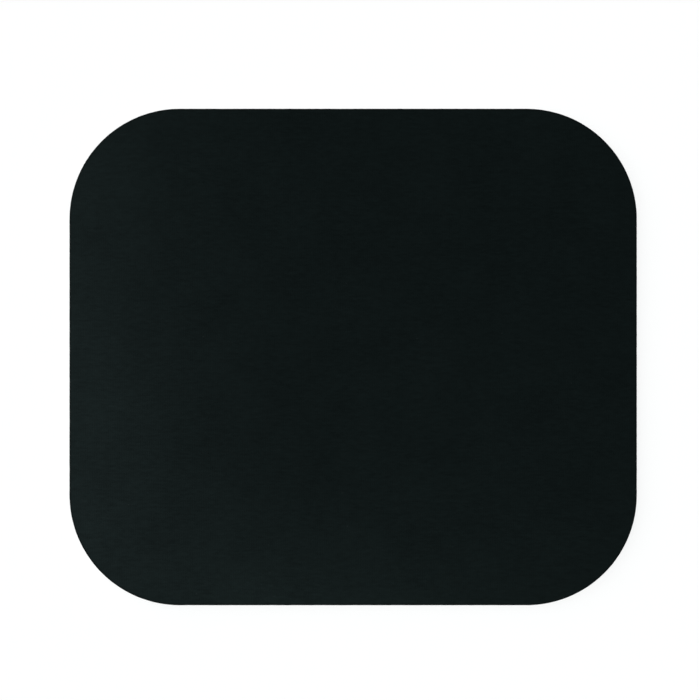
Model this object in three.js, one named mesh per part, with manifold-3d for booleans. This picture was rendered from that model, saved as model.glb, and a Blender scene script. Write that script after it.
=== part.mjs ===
// A mouse pad: a knitted cloth face, glued with a thin film to a sheet of sponge rubber whose
// underside is a solid rubber skin, embossed with waves so that it doesn't slide on the desk.
// The sheets are bonded together first and then stamped out with one die, so all of them share
// one outline: a rectangle with wide round corners.
//
// Millimetres, +Z up. The origin lies under the middle of the pad, on the desk. +X is the user's
// right and +Y points away from the user.

import * as THREE from 'three';
import { mergeVertices } from 'three/addons/utils/BufferGeometryUtils.js';
import Module from 'manifold-3d';

// The die's outline
const PAD_WIDTH = 229;
const PAD_DEPTH = 200.4;
const CORNER_RADIUS = 44.5;

// The sheets' thicknesses, from the desk up
const SKIN_THICKNESS = 0.8;
const CORE_THICKNESS = 3.6;
const FILM_THICKNESS = 0.1;
const CLOTH_THICKNESS = 0.5;

// The die presses the cloth's rim down and rounds it over
const ROLL_WIDTH = 0.9;
const ROLL_DROP_SHARE = 0.5;

// The knife squeezes the sponge, which springs back with a slightly hollow side
const CORE_WAIST = 0.3;

// The wavy grooves in the underside
const GROOVE_PITCH = 6;
const GROOVE_WIDTH = 2;
const GROOVE_DEPTH = 0.4;
const WAVE_LENGTH = 20;
const WAVE_SWING = 2.5;

// How far a cut runs past the surface that it opens
const CUT_OVERRUN = 1;

// The finishes: the cloth's black has a faint blue-green cast, the rubbers are greyer
const CLOTH_FINISH = { color: 0x121919, roughness: 0.95, metalness: 0 };
const FILM_FINISH = { color: 0x3a3b38, roughness: 0.45, metalness: 0 };
const SPONGE_FINISH = { color: 0x1b1c1c, roughness: 0.9, metalness: 0 };
const SKIN_FINISH = { color: 0x141516, roughness: 0.7, metalness: 0 };

// How finely the round stretches are divided
const CORNER_STEPS = 12;
const ROLL_STEPS = 4;
const WAIST_STEPS = 6;
const BENDS_PER_WAVE = 2;

// The heights of the faces where the sheets meet
const SKIN_TOP = SKIN_THICKNESS;
const CORE_TOP = SKIN_TOP + CORE_THICKNESS;
const FILM_TOP = CORE_TOP + FILM_THICKNESS;
const PAD_TOP = FILM_TOP + CLOTH_THICKNESS;

const wasm = await Module();
wasm.setup();

// The die's outline, drawn in by the given distance, counter-clockwise seen from above.
function dieOutline(inset) {
  const alongX = PAD_WIDTH / 2 - CORNER_RADIUS;
  const alongY = PAD_DEPTH / 2 - CORNER_RADIUS;
  const radius = CORNER_RADIUS - inset;
  const quarter = Math.PI / 2;
  const outline = new THREE.Shape();
  outline.absarc(alongX, alongY, radius, 0, quarter);
  outline.absarc(-alongX, alongY, radius, quarter, 2 * quarter);
  outline.absarc(-alongX, -alongY, radius, 2 * quarter, 3 * quarter);
  outline.absarc(alongX, -alongY, radius, 3 * quarter, 4 * quarter);
  return outline;
}

// A closed sheet that follows the die's outline. Each level of its side, from the bottom up, has
// a height and says how far the outline is drawn in there.
function dieCutSheet(levels) {
  const rings = levels.map(({ inset }) => dieOutline(inset).getPoints(CORNER_STEPS));
  const count = rings[0].length;
  const positions = rings.flatMap((ring, level) => ring.flatMap(({ x, y }) => [x, y, levels[level].z]));
  const indices = [];
  for (let level = 0; level < rings.length - 1; level += 1) {
    for (let i = 0; i < count; i += 1) {
      const a = level * count + i;
      const b = level * count + (i + 1) % count;
      indices.push(a, b, b + count, a, b + count, a + count);
    }
  }
  const underside = positions.length / 3;
  const upperside = underside + 1;
  const topRing = (rings.length - 1) * count;
  positions.push(0, 0, levels[0].z, 0, 0, levels[levels.length - 1].z);
  for (let i = 0; i < count; i += 1) {
    const next = (i + 1) % count;
    indices.push(underside, next, i);
    indices.push(upperside, topRing + i, topRing + next);
  }
  const sheet = new THREE.BufferGeometry();
  sheet.setAttribute('position', new THREE.Float32BufferAttribute(positions, 3));
  sheet.setIndex(indices);
  sheet.computeVertexNormals();
  return sheet;
}

// A closed geometry as a solid that can be cut.
function toSolid(geometry) {
  const bare = geometry.clone();
  bare.deleteAttribute('normal');
  bare.deleteAttribute('uv');
  const merged = mergeVertices(bare);
  const vertProperties = new Float32Array(merged.attributes.position.array);
  const triVerts = new Uint32Array(merged.index.array);
  return new wasm.Manifold(new wasm.Mesh({ numProp: 3, vertProperties, triVerts }));
}

// A cut solid as a geometry again.
function toGeometry(solid) {
  const mesh = solid.getMesh();
  const geometry = new THREE.BufferGeometry();
  geometry.setAttribute('position', new THREE.BufferAttribute(mesh.vertProperties, 3));
  geometry.setIndex(new THREE.BufferAttribute(mesh.triVerts, 1));
  geometry.computeVertexNormals();
  return geometry;
}

// The cloth lies flat on its film, and its upper edge rolls over in a quarter of an ellipse.
function topCloth() {
  const drop = CLOTH_THICKNESS * ROLL_DROP_SHARE;
  const levels = [{ inset: 0, z: FILM_TOP }];
  for (let step = 0; step <= ROLL_STEPS; step += 1) {
    const angle = (step / ROLL_STEPS) * (Math.PI / 2);
    levels.push({
      inset: ROLL_WIDTH * (1 - Math.cos(angle)),
      z: PAD_TOP - drop * (1 - Math.sin(angle)),
    });
  }
  return dieCutSheet(levels);
}

// The glue film is a plain sheet.
function bondFilm() {
  return dieCutSheet([{ inset: 0, z: CORE_TOP }, { inset: 0, z: FILM_TOP }]);
}

// The sponge's cut side is hollow, deepest at half its height.
function spongeCore() {
  const levels = [];
  for (let step = 0; step <= WAIST_STEPS; step += 1) {
    const climb = step / WAIST_STEPS;
    const inset = CORE_WAIST * Math.sin(Math.PI * climb);
    levels.push({ inset, z: SKIN_TOP + CORE_THICKNESS * climb });
  }
  // The outermost rings keep the die's own outline, which the neighbours share.
  levels[0] = { inset: 0, z: SKIN_TOP };
  levels[WAIST_STEPS] = { inset: 0, z: CORE_TOP };
  return dieCutSheet(levels);
}

// The middle line of one groove, from past the left edge to past the right one, swinging evenly
// about y = 0 and crossing it under the middle of the pad.
function grooveLine() {
  const stride = WAVE_LENGTH / BENDS_PER_WAVE;
  const bendsEachWay = Math.ceil((PAD_WIDTH / 2 + CUT_OVERRUN) / stride + 1 / 2);
  const line = [];
  for (let bend = -bendsEachWay; bend < bendsEachWay; bend += 1) {
    const x = (bend + 1 / 2) * stride;
    line.push(new THREE.Vector2(x, WAVE_SWING * Math.sin((2 * Math.PI * x) / WAVE_LENGTH)));
  }
  return line;
}

// One groove as a tool: a wavy band as wide as the groove, standing from below the underside up
// to the groove's floor.
function grooveTool(offset) {
  const line = grooveLine();
  const farSide = line.map(({ x, y }) => new THREE.Vector2(x, y + offset + GROOVE_WIDTH / 2));
  const nearSide = line.map(({ x, y }) => new THREE.Vector2(x, y + offset - GROOVE_WIDTH / 2));
  const band = new THREE.Shape([...nearSide, ...farSide.reverse()]);
  const depth = GROOVE_DEPTH + CUT_OVERRUN;
  const tool = new THREE.ExtrudeGeometry(band, { depth, bevelEnabled: false });
  tool.translate(0, 0, -CUT_OVERRUN);
  return toSolid(tool);
}

// The rubber skin, with as many grooves as reach it. A land runs under the middle of the pad.
function gripSkin() {
  const blank = toSolid(dieCutSheet([{ inset: 0, z: 0 }, { inset: 0, z: SKIN_TOP }]));
  const reach = PAD_DEPTH / 2 + WAVE_SWING + GROOVE_WIDTH / 2;
  const groovesEachWay = Math.floor(reach / GROOVE_PITCH + 1 / 2);
  const tools = [];
  for (let groove = -groovesEachWay; groove < groovesEachWay; groove += 1) {
    tools.push(grooveTool((groove + 1 / 2) * GROOVE_PITCH));
  }
  return toGeometry(wasm.Manifold.difference([blank, ...tools]));
}

function namedSheet(name, geometry, finish) {
  const mesh = new THREE.Mesh(geometry, new THREE.MeshStandardMaterial(finish));
  mesh.name = name;
  return mesh;
}

// Each sheet is modelled at the height where it lies, so the faces that are bonded together have
// exactly the same height.
const mousePad = new THREE.Group();
mousePad.name = 'mouse_pad';
mousePad.add(namedSheet('top_cloth', topCloth(), CLOTH_FINISH));
mousePad.add(namedSheet('bond_film', bondFilm(), FILM_FINISH));
mousePad.add(namedSheet('sponge_core', spongeCore(), SPONGE_FINISH));
mousePad.add(namedSheet('grip_skin', gripSkin(), SKIN_FINISH));

export default mousePad;
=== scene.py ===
# %% [markdown]
# A cloth-faced mouse pad, sheet by sheet.
# A plain mouse pad is a stack of four bonded sheets that one die has stamped out together: a
# knitted cloth face, a film of hot-melt glue, a sheet of sponge rubber, and a thin solid skin with
# a wavy tread that keeps it from sliding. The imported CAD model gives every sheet's real place, so
# it is loaded first, and each visible sheet is then modelled in exactly the space of its solid.

# %% Load the frame
import math
import bmesh
import bpy
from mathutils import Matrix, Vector, noise


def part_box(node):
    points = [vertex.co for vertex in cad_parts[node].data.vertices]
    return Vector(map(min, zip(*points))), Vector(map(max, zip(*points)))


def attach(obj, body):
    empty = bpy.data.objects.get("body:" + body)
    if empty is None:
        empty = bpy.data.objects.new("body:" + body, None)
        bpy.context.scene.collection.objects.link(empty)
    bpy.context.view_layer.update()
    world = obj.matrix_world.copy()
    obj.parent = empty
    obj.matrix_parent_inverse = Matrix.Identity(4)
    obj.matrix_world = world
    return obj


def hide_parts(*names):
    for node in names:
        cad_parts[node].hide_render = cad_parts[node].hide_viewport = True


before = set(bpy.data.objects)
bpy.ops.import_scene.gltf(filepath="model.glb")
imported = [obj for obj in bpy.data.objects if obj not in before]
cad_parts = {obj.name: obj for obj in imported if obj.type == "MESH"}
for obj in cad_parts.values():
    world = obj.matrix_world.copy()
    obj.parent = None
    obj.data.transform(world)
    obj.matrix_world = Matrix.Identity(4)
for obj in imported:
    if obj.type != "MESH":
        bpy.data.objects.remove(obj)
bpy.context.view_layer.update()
MM = 0.001
CM = 10 * MM

# %% [markdown]
# All four sheets share the die's outline, a rectangle with wide round corners. Its width and depth
# are the frame's. The corner radius can be read from a stamped sheet as well: it is how far the
# straight back edge stops short of the right side.

# %% Read the die's outline from the frame
HAIR = 0.01 * MM

film_low, film_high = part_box("bond_film")
WIDTH = film_high.x - film_low.x
DEPTH = film_high.y - film_low.y
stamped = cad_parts["bond_film"].data.vertices
back_edge = [vertex.co.x for vertex in stamped if film_high.y - vertex.co.y < HAIR]
CORNER = film_high.x - max(back_edge)
print(f"outline {WIDTH / MM:.1f} x {DEPTH / MM:.1f} mm, corner radius {CORNER / MM:.1f} mm")


def corner_reach(x, y):
    """How far a place lies past the centres of the corners' arcs, along x and along y."""
    return abs(x) - (WIDTH / 2 - CORNER), abs(y) - (DEPTH / 2 - CORNER)


def depth_inside(x, y):
    """How far a place lies inside the outline."""
    past_x, past_y = corner_reach(x, y)
    if past_x > 0 and past_y > 0:
        return CORNER - math.hypot(past_x, past_y)
    return CORNER - max(past_x, past_y)


def outward(x, y):
    """The direction in which the outline lies nearest."""
    past_x, past_y = corner_reach(x, y)
    if past_x > 0 and past_y > 0:
        way = Vector((past_x, past_y, 0))
    elif past_x > past_y:
        way = Vector((1, 0, 0))
    else:
        way = Vector((0, 1, 0))
    way.x = math.copysign(way.x, x)
    way.y = math.copysign(way.y, y)
    return way.normalized()


# %% [markdown]
# The operators act on whatever is selected, and the frame arrives selected. So every step starts
# by clearing the selection, and a small helper picks edges by their length.

# %% Helpers for picking and shaping
def select_longer_edges(obj, length):
    """In edit mode, selects the edges that are longer than the given length."""
    bpy.ops.mesh.select_mode(type="EDGE")
    bpy.ops.mesh.select_all(action="DESELECT")
    mesh = bmesh.from_edit_mesh(obj.data)
    for edge in mesh.edges:
        edge.select_set(edge.calc_length() > length)
    bmesh.update_edit_mesh(obj.data)


def shape(obj, place):
    """In object mode, moves every vertex to where a function of its place says."""
    for vertex in obj.data.vertices:
        vertex.co = place(vertex.co)
    obj.data.update()


def finish_mesh(crease_degrees):
    """Leaves edit mode with the faces pointing outwards, and shades the mesh smoothly up to an angle."""
    bpy.ops.mesh.select_all(action="SELECT")
    bpy.ops.mesh.normals_make_consistent(inside=False)
    bpy.ops.object.mode_set(mode="OBJECT")
    bpy.ops.object.shade_smooth_by_angle(angle=math.radians(crease_degrees))


def report(obj):
    """Prints a piece's size, how much it holds, and what its mesh is made of."""
    mesh = bmesh.new()
    mesh.from_mesh(obj.data)
    volume = mesh.calc_volume(signed=True)
    triangles = sum(len(face.verts) - 2 for face in mesh.faces)
    open_edges = sum(1 for edge in mesh.edges if not edge.is_manifold)
    mesh.free()
    size = [round(side / MM, 2) for side in obj.dimensions]
    print(f"{obj.name}: {size} mm, {volume / CM ** 3:.2f} cm3")
    print(f"{obj.name}: {triangles} triangles, {open_edges} open edges")


# %% [markdown]
# A stamped sheet starts as a plane of the pad's width and depth. Bevelling its four vertices rounds
# the corners into true arcs, which is how a designer would round a card. Its edges are halved until
# the straight sides are divided as finely as the arcs, so that the cut edge can carry small
# irregularities. The face is taken out meanwhile, because subdividing would cut it into strips.

# %% A blank with the die's outline
ROUND_PROFILE = 0.5


def stamped_blank(name, height, edge_step):
    """A flat face with the die's outline, in edit mode, cut into edges of about the given length."""
    bpy.ops.object.select_all(action="DESELECT")
    bpy.ops.mesh.primitive_plane_add(size=1, enter_editmode=True)
    blank = bpy.context.object
    blank.name = name
    bpy.ops.transform.resize(value=(WIDTH, DEPTH, 1))
    bpy.ops.transform.translate(value=(0, 0, height))
    bpy.ops.mesh.select_mode(type="VERT")
    bpy.ops.mesh.select_all(action="SELECT")
    arc_steps = round(CORNER * math.pi / 2 / edge_step)
    bpy.ops.mesh.bevel(
        offset=CORNER,
        offset_type="OFFSET",
        segments=arc_steps,
        profile=ROUND_PROFILE,
        affect="VERTICES",
    )
    bpy.ops.mesh.delete(type="ONLY_FACE")
    longest_side = max(WIDTH, DEPTH) - 2 * CORNER
    halvings = round(math.log2(longest_side / edge_step))
    for _ in range(halvings):
        select_longer_edges(blank, edge_step * math.sqrt(2))
        bpy.ops.mesh.subdivide(number_cuts=1)
    bpy.ops.mesh.select_all(action="SELECT")
    bpy.ops.mesh.edge_face_add()
    return blank


def raise_sheet(rises):
    """Extrudes what is selected upwards or downwards by each of the given steps."""
    for rise in rises:
        bpy.ops.mesh.extrude_region_move(TRANSFORM_OT_translate={"value": (0, 0, rise)})


# %% [markdown]
# The cloth face is the sheet that shows. It is half a millimetre of knitted polyester, flat where
# it is glued down, and its rim is pressed down and rounded over by the die. Rings inset from the
# outline carry that roll, and the middle is cut into squares that let the cloth lie slightly
# unevenly, as stretched knitwear does. The rim is hidden while the middle is cut, so that the cuts
# stop there. Extruding the whole face down to the glue closes the sheet.

# %% Model the cloth face
CLOTH_EDGE_STEP = 1.0 * MM
ROLL_WIDTH = 1.1 * MM
ROLL_RINGS = 6
SHOULDER = 1.2 * MM
CLOTH_SQUARE = 4.5 * MM

cloth_low, cloth_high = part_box("top_cloth")
cloth_thickness = cloth_high.z - cloth_low.z
ring_turns = [math.pi / 2 * ring / ROLL_RINGS for ring in range(ROLL_RINGS + 1)]
ring_insets = [ROLL_WIDTH * (1 - math.cos(turn)) for turn in ring_turns] + [ROLL_WIDTH + SHOULDER]

cloth = stamped_blank("cloth_face", cloth_high.z, CLOTH_EDGE_STEP)
for near, far in zip(ring_insets, ring_insets[1:]):
    bpy.ops.mesh.inset(thickness=far - near, depth=0, use_boundary=True, use_even_offset=True)
bpy.ops.mesh.hide(unselected=True)
for axis, side in ((Vector((1, 0, 0)), WIDTH), (Vector((0, 1, 0)), DEPTH)):
    squares = round(side / CLOTH_SQUARE)
    for cut in range(1, squares):
        bpy.ops.mesh.select_all(action="SELECT")
        bpy.ops.mesh.bisect(plane_co=axis * side * (cut / squares - 1 / 2), plane_no=axis)
bpy.ops.mesh.reveal(select=True)
bpy.ops.mesh.select_all(action="SELECT")
raise_sheet([-cloth_thickness])
bpy.ops.object.mode_set(mode="OBJECT")
print(f"the flat cloth has {len(ring_insets) - 1} rings round it and {len(cloth.data.polygons)} faces")

# %% [markdown]
# Now every vertex moves to where the real cloth would hold it. The rim drops in a quarter turn, and
# the cut edge frays in and out. The swells are noise less 1, which is never above 0, so the cloth
# sinks by a different hair's breadth everywhere and never rises above its solid.

# %% Let the cloth lie, roll over and fray
ROLL_DROP = 0.26 * MM
SWELL = 0.035 * MM
SWELL_LENGTH = 26 * MM
FRAY = 0.05 * MM
FRAY_LENGTH = 1.6 * MM
CLOTH_CREASE = 50


def lie_of_the_cloth(place):
    """Where a vertex of the flat cloth comes to lie."""
    inside = max(depth_inside(place.x, place.y), 0)
    flat = min(inside / ROLL_WIDTH, 1)
    fray = FRAY * noise.noise(place / FRAY_LENGTH) * (1 - flat)
    place = place + outward(place.x, place.y) * fray
    if place.z > cloth_low.z + cloth_thickness / 2:
        fade = min(inside / SWELL_LENGTH, 1)
        place.z -= ROLL_DROP * (1 - math.sqrt(1 - (1 - flat) ** 2))
        place.z += SWELL * (noise.noise(place / SWELL_LENGTH) - 1) * fade
    return place


shape(cloth, lie_of_the_cloth)
bpy.ops.object.mode_set(mode="EDIT")
finish_mesh(CLOTH_CREASE)
report(cloth)

# %% [markdown]
# The glue is a tenth of a millimetre of hot-melt film. At the cut side it shows only as a hairline.
# The pressed glue has crept unevenly, so the line wanders, nearly always a little short of the
# sheets. A middle ring around its side lets it bulge as glue does.

# %% Model the glue film
GLUE_EDGE_STEP = 1.0 * MM
GLUE_CREEP = 0.05 * MM
GLUE_BEAD = 0.02 * MM
CREEP_LENGTH = 3.5 * MM
CUT_CREASE = 60

film_thickness = film_high.z - film_low.z
glue = stamped_blank("glue_film", film_low.z, GLUE_EDGE_STEP)
raise_sheet([film_thickness / 2] * 2)
bpy.ops.object.mode_set(mode="OBJECT")


def creep_of_the_glue(place):
    """Where a vertex of the glue's side ends up, in or out, with a bulge at half its height."""
    halfway = 1 - abs(place.z - film_low.z - film_thickness / 2) / (film_thickness / 2)
    creep = GLUE_CREEP * (noise.noise(place / CREEP_LENGTH) - 1) + GLUE_BEAD * halfway
    return place + outward(place.x, place.y) * creep


shape(glue, creep_of_the_glue)
bpy.ops.object.mode_set(mode="EDIT")
finish_mesh(CUT_CREASE)
report(glue)

# %% [markdown]
# The sponge rubber is most of the pad's thickness, and only its cut side shows. The knife squeezes
# it, so the side springs back slightly hollow. The side is raised in thin steps, so that it has
# vertices for that hollow and for what comes next.

# %% Model the sponge sheet
SPONGE_EDGE_STEP = 0.23 * MM
SPONGE_LAYERS = 16

sponge_low, sponge_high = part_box("sponge_core")
sponge_thickness = sponge_high.z - sponge_low.z
sponge = stamped_blank("sponge_sheet", sponge_low.z, SPONGE_EDGE_STEP)
raise_sheet([sponge_thickness / SPONGE_LAYERS] * SPONGE_LAYERS)
bpy.ops.object.mode_set(mode="OBJECT")
print(f"the sponge's side has {SPONGE_LAYERS} layers of {sponge_thickness / SPONGE_LAYERS / MM:.3f} mm")

# %% [markdown]
# The knife opens the cells that it passes through. Each cell leaves a small round pit, and they
# differ in size: a second noise draws a number from -1 to 1 for each cell from where its middle
# lies, so the mouths are 0.3 to 1 times the widest. How deep each vertex lies in a cell is also
# kept with it, as an attribute, so that the finish can paint shade into exactly those places.

# %% Hollow the cut side and open its cells
WAIST = 0.3 * MM
CELL_SIZE = 0.85 * MM
CELL_MOUTH = 0.36 * MM
MEAN_MOUTH_SHARE = 0.65
MOUTH_SHARE_SPREAD = 0.35
DRAW_SPREAD = 9
CELL_DEPTH = 0.24 * MM
GLUED_FADE = 3


def hollow(place):
    """0 at the two glued faces and 1 at half the sponge's height."""
    climb = (place.z - sponge_low.z) / sponge_thickness
    return math.sin(math.pi * min(max(climb, 0), 1))


def opened_cell(place):
    """How deep a place lies in the nearest cell, from 0 on the side to 1 at the cell's bottom."""
    distances, middles = noise.voronoi(place / CELL_SIZE)
    draw = noise.cell(middles[0] * DRAW_SPREAD)
    mouth = CELL_MOUTH * (MEAN_MOUTH_SHARE + MOUTH_SHARE_SPREAD * draw)
    from_middle = distances[0] * CELL_SIZE / mouth
    return math.sqrt(max(1 - from_middle ** 2, 0)) * min(hollow(place) * GLUED_FADE, 1)


def cut_side_of_the_sponge(place):
    """Where a vertex of the sponge's side ends up."""
    inset = WAIST * hollow(place) + CELL_DEPTH * opened_cell(place)
    return place - outward(place.x, place.y) * inset


cell_depths = [opened_cell(vertex.co) for vertex in sponge.data.vertices]
sponge.data.attributes.new("opened_cell", "FLOAT", "POINT").data.foreach_set("value", cell_depths)
print(f"{sum(depth > 0 for depth in cell_depths)} of {len(cell_depths)} vertices lie in opened cells")
shape(sponge, cut_side_of_the_sponge)
bpy.ops.object.mode_set(mode="EDIT")
finish_mesh(CUT_CREASE)
report(sponge)

# %% [markdown]
# The skin under the sponge is embossed with wavy grooves before the sheet is stamped, so the
# grooves run out through the cut edge. It is made in the same order. One strip of tread, a land
# with half a groove on each side of it, is a long grid that is cut along the grooves' walls,
# pressed up into their section and swung from side to side. An array lays such strips side by side.

# %% Model one strip of the tread
TREAD_PITCH = 6 * MM
GROOVE_WIDTH = 2 * MM
GROOVE_DEPTH = 0.4 * MM
WALL_WIDTH = 0.35 * MM
WALL_STEPS = 4
WAVE_LENGTH = 20 * MM
WAVE_SWING = 2.5 * MM
WAVE_STEPS = 12
DIE_MARGIN = 3 * MM

skin_low, skin_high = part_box("grip_skin")
skin_thickness = skin_high.z - skin_low.z
waves = math.ceil((WIDTH + 2 * DIE_MARGIN) / WAVE_LENGTH)
strips_each_way = math.ceil((DEPTH / 2 + WAVE_SWING + DIE_MARGIN) / TREAD_PITCH)
wall_foot = TREAD_PITCH / 2 - (GROOVE_WIDTH + WALL_WIDTH) / 2

bpy.ops.object.select_all(action="DESELECT")
bpy.ops.mesh.primitive_grid_add(
    x_subdivisions=waves * WAVE_STEPS,
    y_subdivisions=1,
    size=1,
    enter_editmode=True,
)
grip = bpy.context.object
grip.name = "grip_sheet"
bpy.ops.transform.resize(value=(waves * WAVE_LENGTH, TREAD_PITCH, 1))
for side in (-1, 1):
    for step in range(WALL_STEPS + 1):
        row = side * (wall_foot + WALL_WIDTH * step / WALL_STEPS)
        bpy.ops.mesh.select_all(action="SELECT")
        bpy.ops.mesh.bisect(plane_co=(0, row, 0), plane_no=(0, 1, 0))
bpy.ops.object.mode_set(mode="OBJECT")


def press_and_swing(place):
    """Presses the groove's section into the flat strip, and swings the strip into its waves."""
    up_the_wall = min(max((abs(place.y) - wall_foot) / WALL_WIDTH, 0), 1)
    place.z = skin_low.z + GROOVE_DEPTH * (1 - math.cos(math.pi * up_the_wall)) / 2
    place.y += WAVE_SWING * math.sin(2 * math.pi * place.x / WAVE_LENGTH)
    place.y -= strips_each_way * TREAD_PITCH
    return place


shape(grip, press_and_swing)
array = grip.modifiers.new("strips side by side", "ARRAY")
array.count = 2 * strips_each_way + 1
array.use_relative_offset = False
array.use_constant_offset = True
array.constant_offset_displace = (0, TREAD_PITCH, 0)
array.use_merge_vertices = True
array.merge_threshold = HAIR
bpy.ops.object.modifier_apply(modifier=array.name)
print(f"{2 * strips_each_way + 1} strips of tread, {waves} waves long, {len(grip.data.polygons)} faces")

# %% [markdown]
# The strips are still a surface without thickness. Its rim is drawn up past the skin's top and
# levelled there, and a last face closes the slab. A second blank, thicker than the slab, is the
# die: a boolean keeps what lies inside it, and the grooves come out cut through as on the real pad.

# %% Stamp the skin out of the tread
SKIN_EDGE_STEP = 1.0 * MM
TREAD_CREASE = 40

bpy.ops.object.mode_set(mode="EDIT")
bpy.ops.mesh.select_mode(type="EDGE")
bpy.ops.mesh.select_all(action="DESELECT")
bpy.ops.mesh.select_non_manifold(extend=False)
raise_sheet([2 * skin_thickness])
bpy.ops.mesh.edge_face_add()
bpy.ops.object.mode_set(mode="OBJECT")
shape(grip, lambda place: Vector((place.x, place.y, min(place.z, skin_high.z))))

die = stamped_blank("die", skin_low.z - DIE_MARGIN, SKIN_EDGE_STEP)
raise_sheet([skin_thickness + 2 * DIE_MARGIN])
finish_mesh(CUT_CREASE)
bpy.ops.object.select_all(action="DESELECT")
grip.select_set(True)
bpy.context.view_layer.objects.active = grip
bpy.ops.object.mode_set(mode="EDIT")
finish_mesh(TREAD_CREASE)
stamping = grip.modifiers.new("stamping", "BOOLEAN")
stamping.operation = "INTERSECT"
stamping.solver = "MANIFOLD"
stamping.object = die
bpy.ops.object.modifier_apply(modifier=stamping.name)
bpy.data.objects.remove(die, do_unlink=True)
bpy.ops.object.mode_set(mode="EDIT")
finish_mesh(TREAD_CREASE)
report(grip)

# %% [markdown]
# A finish is a small program made of nodes. It reads far better as formulas than as a list of
# links, so one class wraps a node's output and lets it be added, subtracted, multiplied and
# divided, and each operation adds its Math node. Colours and vectors would turn grey in a Math
# node, so they go through Mix and Vector Math nodes, which one method makes like any other node.

# %% Node outputs as values in formulas
class Value:
    """A node's output."""

    def __init__(self, finish, socket):
        self.finish = finish
        self.socket = socket

    def __add__(self, other):
        return self.finish.math("ADD", self, other)

    def __sub__(self, other):
        return self.finish.math("SUBTRACT", self, other)

    def __rsub__(self, other):
        return self.finish.math("SUBTRACT", other, self)

    def __mul__(self, other):
        return self.finish.math("MULTIPLY", self, other)

    def __truediv__(self, other):
        return self.finish.math("DIVIDE", self, other)

    def __pow__(self, other):
        return self.finish.math("POWER", self, other)

    def __abs__(self):
        return self.finish.math("ABSOLUTE", self)

    def beside(self, output):
        """Another output of the same node."""
        return Value(self.finish, self.socket.node.outputs[output])

    __radd__ = __add__
    __rmul__ = __mul__


class Finish:
    """A material, built up node by node."""

    def __init__(self, name):
        self.material = bpy.data.materials.new(name)
        self.material.use_nodes = True
        self.tree = self.material.node_tree
        self.tree.nodes.clear()

    def node(self, kind, settings, sockets, output=0):
        """Adds a node, sets it up, and gives its sockets their numbers or links."""
        made = self.tree.nodes.new("ShaderNode" + kind)
        for setting, choice in settings.items():
            setattr(made, setting, choice)
        for socket, given in sockets.items():
            if isinstance(given, Value):
                self.tree.links.new(given.socket, made.inputs[socket])
            else:
                made.inputs[socket].default_value = given
        return Value(self, made.outputs[output])

    def math(self, operation, *numbers):
        """The result of one Math operation."""
        return self.node("Math", {"operation": operation}, dict(enumerate(numbers)))

    def mix(self, share, first, second):
        """A colour between two others. A Mix node's colours are its sockets 6 and 7 and its output 2."""
        return self.node("Mix", {"data_type": "RGBA"}, {0: share, 6: first, 7: second}, 2)

    def step(self, number, start, end):
        """Climbs softly from 0 to 1 as the number goes from start to end."""
        ends = {"From Min": start, "From Max": end}
        return self.node("MapRange", {"interpolation_type": "SMOOTHSTEP"}, {"Value": number, **ends})

    def wear(self, obj, **sockets):
        """Gives a piece this finish, with a Principled surface of the given values."""
        named = {name.replace("_", " "): given for name, given in sockets.items()}
        surface = self.node("BsdfPrincipled", {}, named)
        end = self.tree.nodes.new("ShaderNodeOutputMaterial")
        self.tree.links.new(surface.socket, end.inputs["Surface"])
        obj.data.materials.clear()
        obj.data.materials.append(self.material)
        print(f"{obj.name} wears {self.material.name}, {len(self.tree.nodes)} nodes")


# %% [markdown]
# All patterns are laid out in the object's own space, so they stay on the rubber and the cloth
# whichever way the camera looks, and they're measured in millimetres. Noise gives every natural
# unevenness here. Stretching its space makes streaks, and the distance from the die's outline,
# worked out as in the mesh, tells a finish where the pressed and cut rim is.

# %% Places and patterns in millimetres
NOISE_MEAN = 0.5
KNIFE_MARK = (0.2, 0.2, 5)


def places(finish):
    """The place on the piece, in mm, as a vector and as its three numbers."""
    local = finish.node("TexCoord", {}, {}, "Object")
    in_mm = finish.node("VectorMath", {"operation": "SCALE"}, {0: local, "Scale": 1 / MM})
    return in_mm, split(finish, in_mm)


def split(finish, vector):
    """A vector's three numbers."""
    numbers = finish.node("SeparateXYZ", {}, {0: vector})
    return numbers, numbers.beside("Y"), numbers.beside("Z")


def stretched(finish, place, lengths):
    """The place measured in steps of the given lengths, one for each axis."""
    return finish.node("VectorMath", {"operation": "DIVIDE"}, {0: place, 1: lengths})


def grain(finish, place, size, detail=2, roughness=0.5):
    """Noise between 0 and 1, with patches of about the given size."""
    sockets = {"Vector": place, "Scale": 1 / size, "Detail": detail, "Roughness": roughness}
    return finish.node("TexNoise", {}, sockets)


def wandering(finish, place, size, amount):
    """The place pushed about by noise, so that a regular pattern on it isn't perfect."""
    push = finish.node("TexNoise", {}, {"Vector": place, "Scale": 1 / size, "Detail": 1}, "Color")
    centred = finish.node("VectorMath", {"operation": "SUBTRACT"}, {0: push, 1: (NOISE_MEAN,) * 3})
    sockets = {0: centred, 1: (amount,) * 3, 2: place}
    return finish.node("VectorMath", {"operation": "MULTIPLY_ADD"}, sockets)


def inside_the_rim(finish, x, y):
    """How far the place lies inside the die's outline, in mm, as depth_inside says in metres."""
    past_x = abs(x) - (WIDTH / 2 - CORNER) / MM
    past_y = abs(y) - (DEPTH / 2 - CORNER) / MM
    beyond_x = finish.math("MAXIMUM", past_x, 0)
    beyond_y = finish.math("MAXIMUM", past_y, 0)
    round_part = finish.math("SQRT", beyond_x * beyond_x + beyond_y * beyond_y)
    straight_part = finish.math("MINIMUM", finish.math("MAXIMUM", past_x, past_y), 0)
    return CORNER / MM - round_part - straight_part


def knife_marks(finish, place):
    """The fine upright scratches that the die's blade leaves in a cut side."""
    return grain(finish, stretched(finish, place, KNIFE_MARK), 1)


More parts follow.
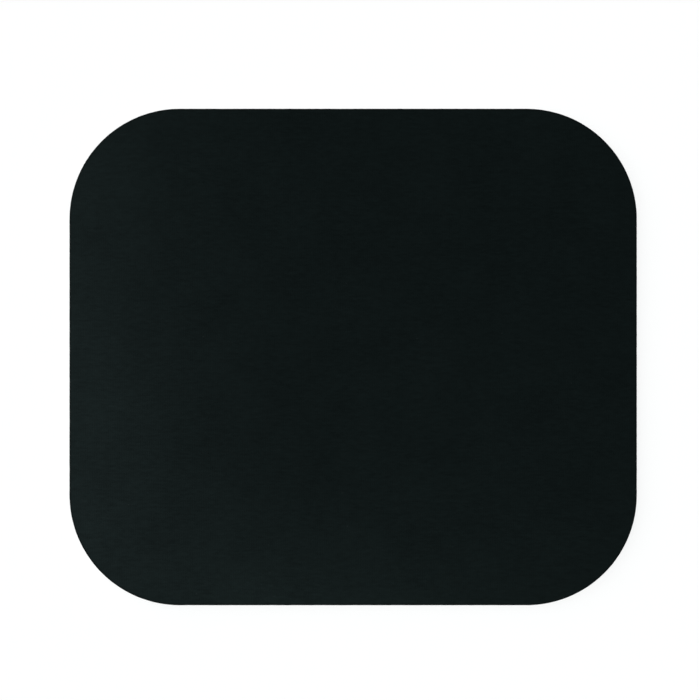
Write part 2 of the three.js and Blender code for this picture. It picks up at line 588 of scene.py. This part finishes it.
# %% [markdown]
# The face is a fine polyester jersey. Its wales, the columns of V-shaped loops, run from front to
# back, and the furrows between them are the fine upright lines in the cloth. The loops are drawn
# from their geometry: the distance from a wale's middle picks the leg of the V, the leg leans
# upwards, and a sine across it gives the yarn its round back. No jersey lies quite straight, so
# the place is first pushed about: by up to a quarter of a millimetre over wide stretches, and by
# less than a tenth from loop to loop.

# %% The knit's loops
WALE = 0.72
COURSE = 0.58
LOOP_LEAN = 1.5
FURROW_SHARE = 0.12
DRIFT_SIZE = 14
DRIFT = 0.5
JITTER_SIZE = 1.3
JITTER = 0.16
YARN_ROUNDING = 0.6
FIBRE_LENGTHS = (0.06, 0.22, 0.1)
FIBRE_SHARE = 0.3

knit = Finish("knit_cloth")
place, (x, y, _) = places(knit)
drifted = wandering(knit, place, DRIFT_SIZE, DRIFT)
handled = wandering(knit, drifted, JITTER_SIZE, JITTER)
across, along, _ = split(knit, handled)
leg = abs(knit.math("FRACT", across / WALE) - 0.5)
loop = knit.math("FRACT", along / COURSE - leg * LOOP_LEAN)
across_leg = knit.math("SINE", (leg + FURROW_SHARE) * (math.pi / (0.5 + FURROW_SHARE)))
yarn = knit.math("SINE", loop * math.pi) * across_leg
fibres = grain(knit, stretched(knit, handled, FIBRE_LENGTHS), 1)
relief = yarn ** YARN_ROUNDING + fibres * FIBRE_SHARE
print(f"{WIDTH / MM / WALE:.0f} wales lie across the cloth, with {DEPTH / MM / COURSE:.0f} loops in each")

# %% [markdown]
# The courses, the rows of loops, were not all knitted equally tight, so stretched noise makes
# streaks along them, and wider noise makes patches that were pressed or handled. The die has
# flattened the rim, which leaves it a little glossier, and the same band is darkened as painted
# shade. The streaks make its inner border uneven, and loose fibres stand out of the cut edge itself.

# %% Streaks, patches, and the pressed rim with its painted shade
STREAK_LENGTHS = (3.4, 0.9, 3)
STREAK_ROUGHNESS = 0.6
PATCH_SIZE = 21
PRESSED_AND_SHADED_RIM = (0.3, 1.2)
UNEVEN_BORDER = 0.4
FRAYED_RIM = (0.05, 0.25)
LOOSE_FIBRES = (0.45, 0.75)
RELIEF_PAINTED_SHADE = 0.45
STREAK_TONE = 0.65
PATCH_TONE = 0.3
TONE_DROP = 0.24
RIM_PAINTED_SHADE = 0.7
FURROW_SHADE_AND_DARK_YARN = (0.0008, 0.0011, 0.0011, 1)
BLACK_YARN = (0.0049, 0.008, 0.008, 1)

streaks = grain(knit, stretched(knit, place, STREAK_LENGTHS), 1, roughness=STREAK_ROUGHNESS)
patches = grain(knit, place, PATCH_SIZE)
inside = inside_the_rim(knit, x, y)
pressed_and_shaded = 1 - knit.step(inside + streaks * UNEVEN_BORDER, *PRESSED_AND_SHADED_RIM)
frayed = (1 - knit.step(inside, *FRAYED_RIM)) * knit.step(fibres, *LOOSE_FIBRES)
# The relief also sets the colour: the furrows are painted darker as shade and the yarn's round back
# lighter as a painted highlight, while the streaks and patches are the yarn's own uneven tone.
flat_tone = relief * RELIEF_PAINTED_SHADE + streaks * STREAK_TONE + patches * PATCH_TONE - TONE_DROP
# The pressed rim is darkened here as painted shade along the rolled edge; its lower roughness further
# down is real.
tone = flat_tone * (1 - pressed_and_shaded * RIM_PAINTED_SHADE)
shade = knit.mix(knit.math("MINIMUM", knit.math("MAXIMUM", tone, 0), 1), FURROW_SHADE_AND_DARK_YARN, BLACK_YARN)
print(f"the rim is pressed to about {PRESSED_AND_SHADED_RIM[1]} mm inside, {len(knit.tree.nodes)} nodes so far")

# %% [markdown]
# A few flecks of lint lie on the cloth. They are the middles of wide cells, and the random colour
# that every cell has picks out about one in six of them. The surface hardly shines, and what sheen
# it has is faint and bluish, as in the photograph.

# %% Flecks of lint and the cloth's surface
LINT_SPACING = 30
LINT_SHAPE = (1, 0.4, 1)
LINT_BORDER = (0.15, 0.32)
LINT_CHOICE = (0.8, 0.85)
LINT_FIBRES = (0.3, 0.6)
LINT = (0.02, 0.025, 0.025, 1)
FRAY_COVER = 0.15
LINT_COVER = 0.8
YARN_HEIGHT = 0.06
STREAK_SHARE = 0.4
CLOTH_ROUGHNESS = 0.66
STREAK_DULLNESS = 0.12
RIM_POLISH = 0.08

spots = {"Vector": stretched(knit, handled, LINT_SHAPE), "Scale": 1 / LINT_SPACING, "Randomness": 1}
from_fleck = knit.node("TexVoronoi", {"voronoi_dimensions": "2D"}, spots)
chosen, _, _ = split(knit, from_fleck.beside("Color"))
in_fleck = 1 - knit.step(from_fleck * LINT_SPACING, *LINT_BORDER)
fleck = in_fleck * knit.step(chosen, *LINT_CHOICE)
lint = fleck * knit.step(fibres, *LINT_FIBRES)
colour = knit.mix(frayed * FRAY_COVER + lint * LINT_COVER, shade, LINT)
height = relief + streaks * STREAK_SHARE
knit.wear(
    cloth,
    Base_Color=colour,
    Roughness=CLOTH_ROUGHNESS + streaks * STREAK_DULLNESS - pressed_and_shaded * RIM_POLISH,
    Diffuse_Roughness=1.0,
    Specular_IOR_Level=0.013,
    Specular_Tint=(0.62, 0.98, 1.0, 1),
    Sheen_Weight=0.006,
    Sheen_Roughness=0.45,
    Sheen_Tint=(0.75, 0.98, 1.0, 1),
    Normal=knit.node("Bump", {}, {"Strength": 1, "Distance": YARN_HEIGHT * MM, "Height": height}),
)

# %% [markdown]
# The glue shows only as a hairline between cloth and sponge. It is a translucent grey, glossier
# than what is around it, and cloudy where it soaked into the knit.

# %% The glue's finish
CLOUD_SIZE = 1.4
CLOUD_HEIGHT = 0.02
CLOUD_DULLNESS = 0.3
GLUE_ROUGHNESS = 0.3
CLEAR_GLUE = (0.027, 0.028, 0.027, 1)
CLOUDY_GLUE = (0.11, 0.11, 0.1, 1)

film = Finish("hot_melt_film")
place, _ = places(film)
cloud = grain(film, place, CLOUD_SIZE, detail=3)
film.wear(
    glue,
    Base_Color=film.mix(cloud, CLEAR_GLUE, CLOUDY_GLUE),
    Roughness=GLUE_ROUGHNESS + cloud * CLOUD_DULLNESS,
    Specular_IOR_Level=0.4,
    Normal=film.node("Bump", {}, {"Strength": 0.6, "Distance": CLOUD_HEIGHT * MM, "Height": cloud}),
)

# %% [markdown]
# Sponge rubber is soot-filled, so it is nearly black, and dull. Every cell that the knife opened is
# painted dark inside as shade, ringed by the paler rubber. Three sizes of cells lie among each other:
# the largest are in the mesh, whose attribute paints shade into them, and the finish adds the middle
# and the smallest ones, torn a little out of round by noise.

# %% The sponge's finish
MIDDLE_CELL = 0.4
MIDDLE_MOUTH = 0.42
MIDDLE_SHARE = 0.55
SMALL_CELL = 0.17
SMALL_MOUTH = 0.4
SMALL_SHARE = 0.45
BOTTOM_SHARE = 0.55
TORN_SIZE = 0.6
TORN = 0.12

foam = Finish("sponge_rubber")
place, _ = places(foam)
torn = wandering(foam, place, TORN_SIZE, TORN)


def cells(size, mouth):
    """1 between the cells and 0 at the bottom of each one."""
    sockets = {"Vector": torn, "Scale": 1 / size, "Randomness": 1}
    from_middle = foam.node("TexVoronoi", {}, sockets, "Distance")
    return foam.step(from_middle, mouth * BOTTOM_SHARE, mouth)


middle_walls = cells(MIDDLE_CELL, MIDDLE_MOUTH)
walls = middle_walls * MIDDLE_SHARE + cells(SMALL_CELL, SMALL_MOUTH) * SMALL_SHARE
print(f"cells of {MIDDLE_CELL} and {SMALL_CELL} mm, {len(foam.tree.nodes)} nodes so far")

# %% [markdown]
# The walls between the cells are palest where the rubber's bloom and the blade's scratches lie.
# The bottoms of the cells are painted black as shade.

# %% The sponge's surface
BLOOM_SIZE = 6
BLOOM_TONE = 0.5
MARK_TONE = 0.4
WALL_TONE = 0.4
PIT_PAINTED_SHADE = 0.75
MARK_SHARE = 0.35
WALL_HEIGHT = 0.12
PIT_ROUGHNESS = 0.94
WALL_POLISH = 0.12
PAINTED_PIT_SHADE = (0.0018, 0.0023, 0.0023, 1)
PALE_WALL = (0.0172, 0.0198, 0.02, 1)

large_cell_shade = foam.node("Attribute", {"attribute_name": "opened_cell"}, {}, "Fac")
marks = knife_marks(foam, place)
bloom = grain(foam, place, BLOOM_SIZE, detail=3)
# The cell bottoms are painted black as shade, and the large cells of the mesh are darkened further by
# their attribute, also as painted shade.
wall_tone = walls * (bloom * BLOOM_TONE + marks * MARK_TONE + WALL_TONE)
tone = wall_tone * (1 - large_cell_shade * PIT_PAINTED_SHADE)
height = walls + marks * MARK_SHARE
foam.wear(
    sponge,
    Base_Color=foam.mix(tone, PAINTED_PIT_SHADE, PALE_WALL),
    Roughness=PIT_ROUGHNESS - walls * WALL_POLISH,
    Diffuse_Roughness=1.0,
    Specular_IOR_Level=0.12,
    Normal=foam.node("Bump", {}, {"Strength": 1, "Distance": WALL_HEIGHT * MM, "Height": height}),
)

# %% [markdown]
# The skin is the same rubber without cells. It was moulded against a fabric belt, which left a
# fine square weave in it. The weave stops at the cut side, and a place's height tells the grooves
# from the lands between them.

# %% The skin's weave, rim and grooves
BELT_THREAD = 0.55
BELT_SAG_SIZE = 3
BELT_SAG = 0.12
MOULDED_FROM = (0.02, 0.1)
GROOVE_FOOT = 0.1

rubber = Finish("skin_rubber")
place, (x, y, z) = places(rubber)
sagging = wandering(rubber, place, BELT_SAG_SIZE, BELT_SAG)
along, across, _ = split(rubber, sagging)
warp = rubber.math("SINE", along * (2 * math.pi / BELT_THREAD))
weft = rubber.math("SINE", across * (2 * math.pi / BELT_THREAD))
weave = warp * weft
moulded = rubber.step(inside_the_rim(rubber, x, y), *MOULDED_FROM)
in_groove = rubber.step(z, skin_low.z / MM + GROOVE_FOOT, (skin_low.z + GROOVE_DEPTH) / MM)
print(f"a belt thread every {BELT_THREAD} mm, {len(rubber.tree.nodes)} nodes so far")

# %% [markdown]
# Talc, which kept the sheets from sticking to each other, lies in patches on the skin, and more of
# it in the grooves. The lands, which touch the desk, are a little smoother. The cut side has no
# talc and no weave, only the blade's upright scratches.

# %% The skin's talc and surface
TALC_SIZE = 9
TALC_ROUGHNESS = 0.6
GROOVE_TALC = 0.12
TALC_SHOWS = (0.45, 0.85)
TALC_COVER = 0.55
WEAVE_SHARE = 0.5
SCRATCH_SHARE = 1.2
PIMPLE_SIZE = 0.3
PIMPLE_SHARE = 0.6
WEAVE_HEIGHT = 0.035
SKIN_ROUGHNESS = 0.58
TALC_DULLNESS = 0.3
GROOVE_DULLNESS = 0.08
BLACK_SKIN = (0.008, 0.0092, 0.0096, 1)
GREY_TALC = (0.044, 0.048, 0.049, 1)

talc = grain(rubber, place, TALC_SIZE, detail=4, roughness=TALC_ROUGHNESS)
dust = rubber.step(talc + in_groove * GROOVE_TALC, *TALC_SHOWS) * moulded * TALC_COVER
scratches = knife_marks(rubber, place) * (1 - moulded)
pimples = grain(rubber, place, PIMPLE_SIZE)
height = weave * moulded * WEAVE_SHARE + scratches * SCRATCH_SHARE + pimples * PIMPLE_SHARE
rubber.wear(
    grip,
    Base_Color=rubber.mix(dust, BLACK_SKIN, GREY_TALC),
    Roughness=SKIN_ROUGHNESS + dust * TALC_DULLNESS + in_groove * GROOVE_DULLNESS,
    Specular_IOR_Level=0.22,
    Normal=rubber.node("Bump", {}, {"Strength": 1, "Distance": WEAVE_HEIGHT * MM, "Height": height}),
)

# %% [markdown]
# Each sheet now takes the place of its solid. They all ride on the one body, because nothing in a
# mouse pad moves.

# %% Put the sheets in the frame
stack = [
    (cloth, "top_cloth", "knit_cloth"),
    (glue, "bond_film", "glue_film"),
    (sponge, "sponge_core", "sponge_rubber"),
    (grip, "grip_skin", "skin_rubber"),
]
for piece, node, finish_slot in stack:
    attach(piece, "root")
    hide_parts(node)

# %% [markdown]
# The pad lies on a plain pale floor that is lit so brightly that it is seen as white. The camera
# looks straight down on it from about 80 cm through a long lens, a little off the pad's middle, as
# the photographer's was. The outline that it sees is the foot of the cloth's rolled rim, so the
# pad's width in the photograph gives the distance from there.

# %% Floor and camera
FLOOR_SIZE = 8
FLOOR_GREY = (0.8, 0.8, 0.8, 1)
SENSOR = 36
LENS = 100
PHOTO_WIDTH = 700
PAD_CENTRE_PX = (353.15, 357.0)
PAD_WIDTH_PX = 567.15

bpy.ops.object.select_all(action="DESELECT")
bpy.ops.mesh.primitive_plane_add(size=FLOOR_SIZE)
floor = bpy.context.object
floor.name = "floor"
paper = Finish("pale_floor")
paper.wear(floor, Base_Color=FLOOR_GREY, Roughness=1.0, Specular_IOR_Level=0.0)

metres_per_px = WIDTH / PAD_WIDTH_PX
distance = metres_per_px * PHOTO_WIDTH * LENS / SENSOR
camera = bpy.data.objects.new("camera", bpy.data.cameras.new("camera"))
bpy.context.collection.objects.link(camera)
bpy.context.scene.camera = camera
camera.data.lens = LENS
camera.data.sensor_width = SENSOR
camera.location.x = (PHOTO_WIDTH / 2 - PAD_CENTRE_PX[0]) * metres_per_px
camera.location.y = (PAD_CENTRE_PX[1] - PHOTO_WIDTH / 2) * metres_per_px
camera.location.z = cloth_low.z + distance
print(f"the camera is {distance / CM:.1f} cm above the cloth's foot")

# %% [markdown]
# The studio's white walls are the world's background. The camera sees them and the rubber mirrors
# them, but they light nothing matt, because light from all sides would put a shadow all round. So
# the matt cloth and floor get their light from lamps. Each lamp stands at a place and faces a
# point, and one helper makes them all.

# %% The studio's walls, and a helper for its lamps
WALLS = (0.955, 1.0, 0.995, 1)
WALL_STRENGTH = 1.05

world = bpy.data.worlds.new("studio")
bpy.context.scene.world = world
world.use_nodes = True
world.node_tree.nodes["Background"].inputs["Color"].default_value = WALLS
world.node_tree.nodes["Background"].inputs["Strength"].default_value = WALL_STRENGTH
world.cycles_visibility.diffuse = False
print(f"the walls are seen at strength {WALL_STRENGTH}")


def lamp(kind, name, place, aim, power, colour, **settings):
    """A light at a place, facing a point, that the camera doesn't see."""
    light = bpy.data.lights.new(name, kind)
    light.energy = power
    light.color = colour
    for setting, choice in settings.items():
        setattr(light, setting, choice)
    holder = bpy.data.objects.new(name, light)
    bpy.context.collection.objects.link(holder)
    holder.location = place
    holder.rotation_euler = (Vector(aim) - Vector(place)).to_track_quat("-Z", "Y").to_euler()
    holder.visible_camera = False
    print(f"{kind.lower()} lamp {name}, power {power}")
    return holder


# %% [markdown]
# The pad throws a faint shadow, about as wide as the pad is thick, to the right and to the front,
# and none to the left or the back. So nearly all light comes from straight overhead, and a tenth
# from a wide window at the left. Both are suns, because a sun lights the whole floor alike and
# keeps it white up to the horizon. The floor is only just white, so that the shadow still shows.

# %% The two suns
COLD = (0.99, 1.0, 1.0)
MIDDLE = (0, 0, 0)
OVERHEAD_SPREAD = math.radians(8)
WINDOW_SPREAD = math.radians(80)

lamp(
    "SUN",
    "overhead",
    place=(-0.04, 0.05, 1),
    aim=MIDDLE,
    power=3.58,
    colour=COLD,
    angle=OVERHEAD_SPREAD,
)
lamp(
    "SUN",
    "window",
    place=(-0.94, 0.34, 1),
    aim=MIDDLE,
    power=0.56,
    colour=COLD,
    angle=WINDOW_SPREAD,
)

# %% [markdown]
# In the photograph the cloth is a little lighter along its left and front rims, most of all at the
# front left corner, and that lightness falls off within a few centimetres. Two long and narrow
# softboxes do the same. They stand low beside those rims and are turned so that they come nearest
# at that corner. Light linking lets them light the cloth alone, so they don't wash out the floor's
# shadow.

# %% The strips beside the cloth
STRIP_WIDTH = 0.02

lit = bpy.data.collections.new("lit_by_the_strips")
lit.objects.link(cloth)


def strip(name, place, aim, length, power, colour):
    """A softbox as narrow as a strip, which lights the cloth alone."""
    sizes = {"shape": "RECTANGLE", "size": length, "size_y": STRIP_WIDTH}
    lamp("AREA", name, place, aim, power, colour, **sizes).light_linking.receiver_collection = lit


strip(
    "left",
    place=(-0.14, 0.02, 0.048),
    aim=(-0.06, 0.035, 0),
    length=0.33,
    power=0.253,
    colour=(1.0, 0.914, 0.915),
)
strip(
    "front",
    place=(0.075, -0.143, 0.033),
    aim=(0.097, -0.06, 0),
    length=0.3,
    power=0.112,
    colour=(1.0, 0.974, 0.933),
)

# %% [markdown]
# The picture is shown without a film look, because the photograph's blacks and whites are plain.

# %% Show it plainly
bpy.context.scene.view_settings.view_transform = "Standard"
bpy.context.scene.view_settings.look = "None"
